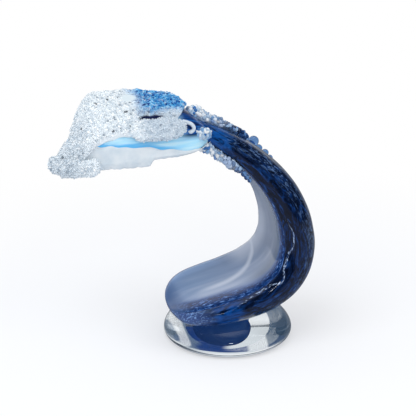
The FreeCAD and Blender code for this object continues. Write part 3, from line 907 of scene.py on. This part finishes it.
aqua_glass, tree = material("aqua_sheet_glass")
sheet_at = add(tree, "ShaderNodeAttribute", {"attribute_name": "sheet"}).outputs["Vector"]
drawn = add(tree, "ShaderNodeMapping", inputs={"Vector": sheet_at, "Scale": RIBS_DRAW})
ribs = add(tree, "ShaderNodeTexNoise", inputs={"Vector": drawn.outputs[0], **RIBS}).outputs["Fac"]
pale = stops(add(tree, "ShaderNodeValToRGB", inputs={"Fac": ribs}), [
    (0.3, "#9bdafc"), (0.55, "#b6e5fc"), (0.75, "#cfedfd")])
royal = stops(add(tree, "ShaderNodeValToRGB", inputs={"Fac": ribs}), [
    (0.35, "#081e46"), (0.5, "#0f3f85"), (0.65, "#2a74bf")])
thrown, over, _ = add(tree, "ShaderNodeSeparateXYZ", inputs={"Vector": sheet_at}).outputs
under_lip = past_line(tree, over, thrown, LIP_TOP, ribs, -0.06, middle=0.5)
tone = glaze(
    tree, pale,
    ("#4db0ec", (under_lip, -0.045, -0.005), (thrown, 0.34, 0.48), 0.85),
    (royal, (thrown, 0.43, 0.33), (over, 0.88, 0.80)),
)
finish_glass(aqua_glass, {
    "Base Color": tone, "Roughness": 0.12, "Transmission Weight": 0.08,
    "Subsurface Weight": 0.2, "Subsurface Radius": (0.004, 0.005, 0.006)})

# %% White opal
CLOUDS = {"Scale": 90, "Detail": 4}  # about 11 mm

opal_glass, tree = material("white_opal_glass")
coords = add(tree, "ShaderNodeTexCoord").outputs["Object"]
cloud = add(tree, "ShaderNodeTexNoise", inputs={"Vector": coords, **CLOUDS}).outputs["Fac"]
tone = stops(add(tree, "ShaderNodeValToRGB", inputs={"Fac": cloud}), [
    (0.35, "#d5e2ec"), (0.6, "#e8f0f6")])
finish_glass(opal_glass, {
    "Base Color": tone, "Roughness": 0.2, "Transmission Weight": 0.2,
    "Subsurface Weight": 0.2, "Subsurface Radius": (0.004, 0.004, 0.004)})

# %% [markdown]
# ### Crushed glass and beads
# Crushed glass is a mix of sorts. It could be a colour noise, but that would stain across the grains.
# Here each grain drew a number when it was strewn, and a stepped ramp picks its colour by that number.
# The banks are white, and blue on the far side near the wave. The trails are clear over the dark rim.


# %% Crushed white and blue glass
def tint_mix(tree, colours):
    """Each grain takes one colour of the mix by its tint; the melted crust has tint 0."""
    tint = add(tree, "ShaderNodeAttribute", {"attribute_name": "tint"}).outputs["Fac"]
    picked = add(tree, "ShaderNodeValToRGB", inputs={"Fac": tint})
    picked.color_ramp.interpolation = "CONSTANT"
    return stops(picked, colours)


PATCHES_OF_BLUE = {"Scale": 120, "Detail": 3}  # about 8 mm

white_frit, tree = material("crushed_white_and_blue_glass")
coords = add(tree, "ShaderNodeTexCoord").outputs["Object"]
x, y, _ = add(tree, "ShaderNodeSeparateXYZ", inputs={"Vector": coords}).outputs
whites = tint_mix(tree, [
    (0.0, "#e2eaf0"), (0.30, "#d6e0e8"), (0.52, "#f1f5f8"), (0.72, "#c6d2dc"), (0.86, "#e6eef3"),
    (0.962, "#98a4b0"), (0.990, "#5f6770")])
blues = tint_mix(tree, [
    (0.0, "#4a9fd6"), (0.24, "#68b2e0"), (0.46, "#2f86c8"), (0.64, "#86c2e6"), (0.74, "#1c66b0"),
    (0.90, "#b8dcf0"), (0.94, "#0f3d88")])
# the blue patch reaches nearer at its left end
skew = add(tree, "ShaderNodeMath", {"operation": "MULTIPLY_ADD"}, {0: x, 1: -0.3, 2: y}).outputs[0]
patchy = add(tree, "ShaderNodeTexNoise", inputs={"Vector": coords, **PATCHES_OF_BLUE}).outputs["Fac"]
look_at = add(tree, "ShaderNodeAttribute", {"attribute_name": "look"}).outputs["Vector"]
frosty, slit, _ = add(tree, "ShaderNodeSeparateXYZ", inputs={"Vector": look_at}).outputs
tone = glaze(
    tree, whites,
    (blues, (x, -0.086, -0.068), (skew, -0.006, 0.004),
     (patchy, 0.26, 0.44)),
    # painted shade, greyer on the near roll and at the thrown end
    ("#a5b8cb", (y, -0.013, -0.021), (x, -0.088, -0.070), 0.5),
    ("#93a7b8", (x, -0.112, -0.140), 0.30),
    ("#cfdee7", frosty),
    # painted shade: the slit is painted dark navy
    ("#081a4a", (slit, 0.0, 0.35)),
)
finish_glass(white_frit, {
    "Base Color": tone, "Roughness": 0.28})

# %% Crushed clear glass, and the beads
clear_frit, tree = material("crushed_clear_glass_over_blue")
coords = add(tree, "ShaderNodeTexCoord").outputs["Object"]
x = add(tree, "ShaderNodeSeparateXYZ", inputs={"Vector": coords}).outputs["X"]
pale = tint_mix(tree, [
    (0.0, "#b4cce4"), (0.3, "#e2edf7"), (0.5, "#86b0dc"), (0.66, "#f1f6fb"), (0.86, "#3f76b8")])
deep = tint_mix(tree, [
    (0.0, "#2a4f88"), (0.22, "#5a86c0"), (0.44, "#1a3a6c"), (0.58, "#9dbce0"), (0.78, "#12264a"),
    (0.86, "#dbe6f0")])
tone = glaze(tree, pale, (deep, (x, -0.026, 0.012)))
finish_glass(clear_frit, {
    "Base Color": tone, "Roughness": 0.0, "Transmission Weight": 0.15})

bead_glass, tree = material("clear_bead_glass")
finish_glass(bead_glass, {
    "Base Color": "#6f97cc", "Roughness": 0.0, "Transmission Weight": 0.95})

# %% [markdown]
# ## Putting the pieces in place of the CAD nodes
# Each piece rides on the part's one body and stands for its node.

# %% Pieces
stands_for(foot, "foot", clear_glass)
stands_for(wave, "wave_body", cobalt_glass)
stands_for(veil, "face_veil", veil_glass)
stands_for(crest, "crest_sheet", aqua_glass)
stands_for(lip, "opal_lip", opal_glass)
stands_for(outer_beads, "outer_beads", bead_glass)
stands_for(inner_beads, "inner_beads", bead_glass)

# %% Crushed glass
FOAM_GRAINS, TRAIL_GRAINS = (2.5, 1.6), (4.0, 2.5)  # size and spacing, in mm
# node, patch of the crest (places, alongs), height over it in mm, cells, ragged, slot
PATCHES = [
    ("top_foam", (2.9, None), (-0.1, None), 7.2, (76, 72), 0.6, "white_frit"),
    ("far_frit", (1.35, 3.2), (-0.1, None), 6.6, (44, 52), 0.5, "blue_frit"),
    ("front_foam", (2.12, 3.7), (3.86, 5.12), 9.5, (48, 30), 0.5, "white_frit"),
]
for seed, (node, places, alongs, lift, cells, ragged, slot) in enumerate(PATCHES, start=10):
    bank = crust(node, places, alongs, lift, cells, ragged, seed)
    bank = strew(bank, crest, 2.4, *FOAM_GRAINS, seed)
    stands_for(join(bank, curl) if node == "front_foam" else bank, node, white_frit)

lip_bank = strew(trail("lip_foam", swell=0.0), lip, 1.0, *FOAM_GRAINS, seed=20)
stands_for(lip_bank, "lip_foam", white_frit)
for seed, node in enumerate(("outer_frit", "inner_frit"), start=30):
    bank = trail(node, swell=1.4)
    if node == "inner_frit":
        bank = join(bank, crust(node, (0.35, 1.7), (4.5, 5.3), 4.6, (24, 16), 0.8, seed))
    bank = strew(bank, wave, 1.2, *TRAIL_GRAINS, seed, facets=2, stretch=MELTED)
    stands_for(bank, node, clear_frit)

# %% [markdown]
# ## Floor, light and camera
# The photograph has a white ground, a soft broad light and a dark room behind the camera, which the
# dark glass mirrors. So the camera sees a white world, and what the glass mirrors or lets through is
# bright above and behind and dark in front. The floor keeps the object's soft shadow.

# %% Shaders that only some rays see
def shown_to(tree, usual, *others):
    """The usual shader, with others shown to some rays: each a shader, a kind of ray and its shares."""
    path = add(tree, "ShaderNodeLightPath")
    for shader, ray, *shares in others:
        part = combine(tree, path.outputs[ray], *shares)
        usual = add(tree, "ShaderNodeMixShader", inputs={
            0: part, 1: usual.outputs[0], 2: shader.outputs[0]})
    return usual


# %% World
BACK_LIGHT, TOP_LIGHT = (0.52, 0.98), (0.86, 0.98)  # where the mirrored room turns from dark to bright

world = bpy.data.worlds.new("studio")
bpy.context.scene.world = world
world.use_nodes = True
tree = world.node_tree
tree.nodes.clear()
way = add(tree, "ShaderNodeTexCoord").outputs["Generated"]
_, back, up = add(tree, "ShaderNodeSeparateXYZ", inputs={"Vector": way}).outputs
lit = combine(tree, (back, *BACK_LIGHT), (up, *TOP_LIGHT), by="MAXIMUM")
mirrored = stops(add(tree, "ShaderNodeValToRGB", inputs={"Fac": lit}), [
    (0.0, "#1a2029"), (0.5, "#8f98a3"), (1.0, "#ffffff")])
plain = add(tree, "ShaderNodeBackground", inputs={"Color": "#ffffff", "Strength": 0.75})
mirror = add(tree, "ShaderNodeBackground", inputs={"Color": mirrored})
white = add(tree, "ShaderNodeBackground", inputs={"Color": "#ffffff"})
seen = shown_to(tree, plain, (mirror, "Is Glossy Ray"), (mirror, "Is Transmission Ray"),
                (white, "Is Camera Ray"))
add(tree, "ShaderNodeOutputWorld", inputs={"Surface": seen.outputs[0]})
print("world:", len(tree.nodes), "nodes")

# %% Painted light and shade on the paper, shown only through the clear foot
# soft steps in metres, each (0 here, 1 here): painted light in a ring round the foot, in two card
# shaped patches under it and on the paper beyond; a painted blue cast in front of the ring and
# behind it, as (side, depth)
PAINTED_RING, BEYOND = ((0.0490, 0.0525), (0.060, 0.054)), (0.08, 0.13)
PAINTED_CARDS = [((0.003, 0.006), (0.022, 0.020)), ((-0.0365, -0.0350), (-0.0300, -0.0315))]
PAINTED_CASTS = [
    (((-0.034, -0.030), (0.008, 0.004)), (-0.014, -0.020)),
    (((-0.020, -0.010), (0.0160, 0.0145)), (0.030, 0.038)),
]
PAINTED_CAST_END = (0.072, 0.066)

paper, tree = material("white_paper_sweep")
ground_at = add(tree, "ShaderNodeTexCoord").outputs["Object"]
away = add(tree, "ShaderNodeVectorMath", {"operation": "LENGTH"}, {0: ground_at}).outputs["Value"]
side, depth, _ = add(tree, "ShaderNodeSeparateXYZ", inputs={"Vector": ground_at}).outputs
painted_cards = [band(tree, side, *edges) for edges in PAINTED_CARDS]
lit = combine(tree, band(tree, away, *PAINTED_RING), (away, *BEYOND), *painted_cards, by="MAXIMUM")
painted_casts = [combine(tree, band(tree, side, *edges), (depth, *reach)) for edges, reach in PAINTED_CASTS]
painted_cast = combine(tree, *painted_casts, by="MAXIMUM")
# painted shade, darker towards the right, under the painted light and the painted blue cast
painted_ground = glaze(
    tree, "#71869c",
    ("#3f5873", (side, -0.03, 0.035)),
    ("#f1f5f8", lit),
    ("#07397f", painted_cast, (away, *PAINTED_CAST_END)),
)

# %% Floor
bpy.ops.mesh.primitive_plane_add(size=8)
floor = bpy.context.object
floor.name = "floor"
# the camera sees more and more plain white away from the foot, and the soft shadow beside it
clean = add(tree, "ShaderNodeMath", {"operation": "MULTIPLY_ADD"},
            {0: soft_step(tree, away, 0.14, 0.50), 1: 0.55, 2: 0.45})
matt = add(tree, "ShaderNodeBsdfDiffuse", inputs={"Color": "#eef1f7"})
bright = add(tree, "ShaderNodeEmission", inputs={"Color": "#ffffff"})
dim = add(tree, "ShaderNodeEmission", inputs={"Color": "#5a6068"})
# rays through the clear foot see mostly this glow of painted light and shade
painted_glow = add(tree, "ShaderNodeEmission", inputs={"Color": painted_ground})
finish_material(paper, shown_to(
    tree, matt, (bright, "Is Camera Ray", clean.outputs[0]), (dim, "Is Glossy Ray", 0.8),
    (painted_glow, "Is Transmission Ray", 0.85)))
floor.data.materials.append(paper)


# %% Lamps
AIM = Vector((0, 0, 0.1))  # about the middle of the wave


def softbox(name, place, size, power, mirrored):
    bpy.ops.object.light_add(type="AREA", location=place)
    lamp = bpy.context.object
    lamp.name = name
    lamp.data.shape = "RECTANGLE"
    lamp.data.size, lamp.data.size_y = size
    lamp.data.energy = power
    lamp.visible_glossy = mirrored
    lamp.rotation_euler = (AIM - Vector(place)).to_track_quat("-Z", "Y").to_euler()
    print(name, power, "W")


softbox("key_softbox", (-0.7, -0.5, 1.3), (1.1, 1.1), 9, False)
softbox("fill_softbox", (1.0, -0.8, 0.9), (0.9, 0.9), 5, False)
softbox("strip_lamp", (-0.2, -1.3, 1.0), (0.2, 0.04), 0.6, True)

# %% Camera
# fitted to the ellipse of the foot: place in metres, turn in degrees, lens in mm
CAMERA_PLACE, CAMERA_TURN, LENS = (-0.3175, -1.0467, 0.5117), (70, 0, -16), 121.15

bpy.ops.object.camera_add(location=CAMERA_PLACE, rotation=[math.radians(turn) for turn in CAMERA_TURN])
camera = bpy.context.object
camera.data.sensor_width = 36
camera.data.lens = LENS
bpy.context.scene.camera = camera
bpy.context.scene.view_settings.view_transform = "Standard"
print("camera:", LENS, "mm lens,", round(camera.location.length, 2), "m away")

# %% Tidy away the line
bpy.data.objects.remove(wave_line)
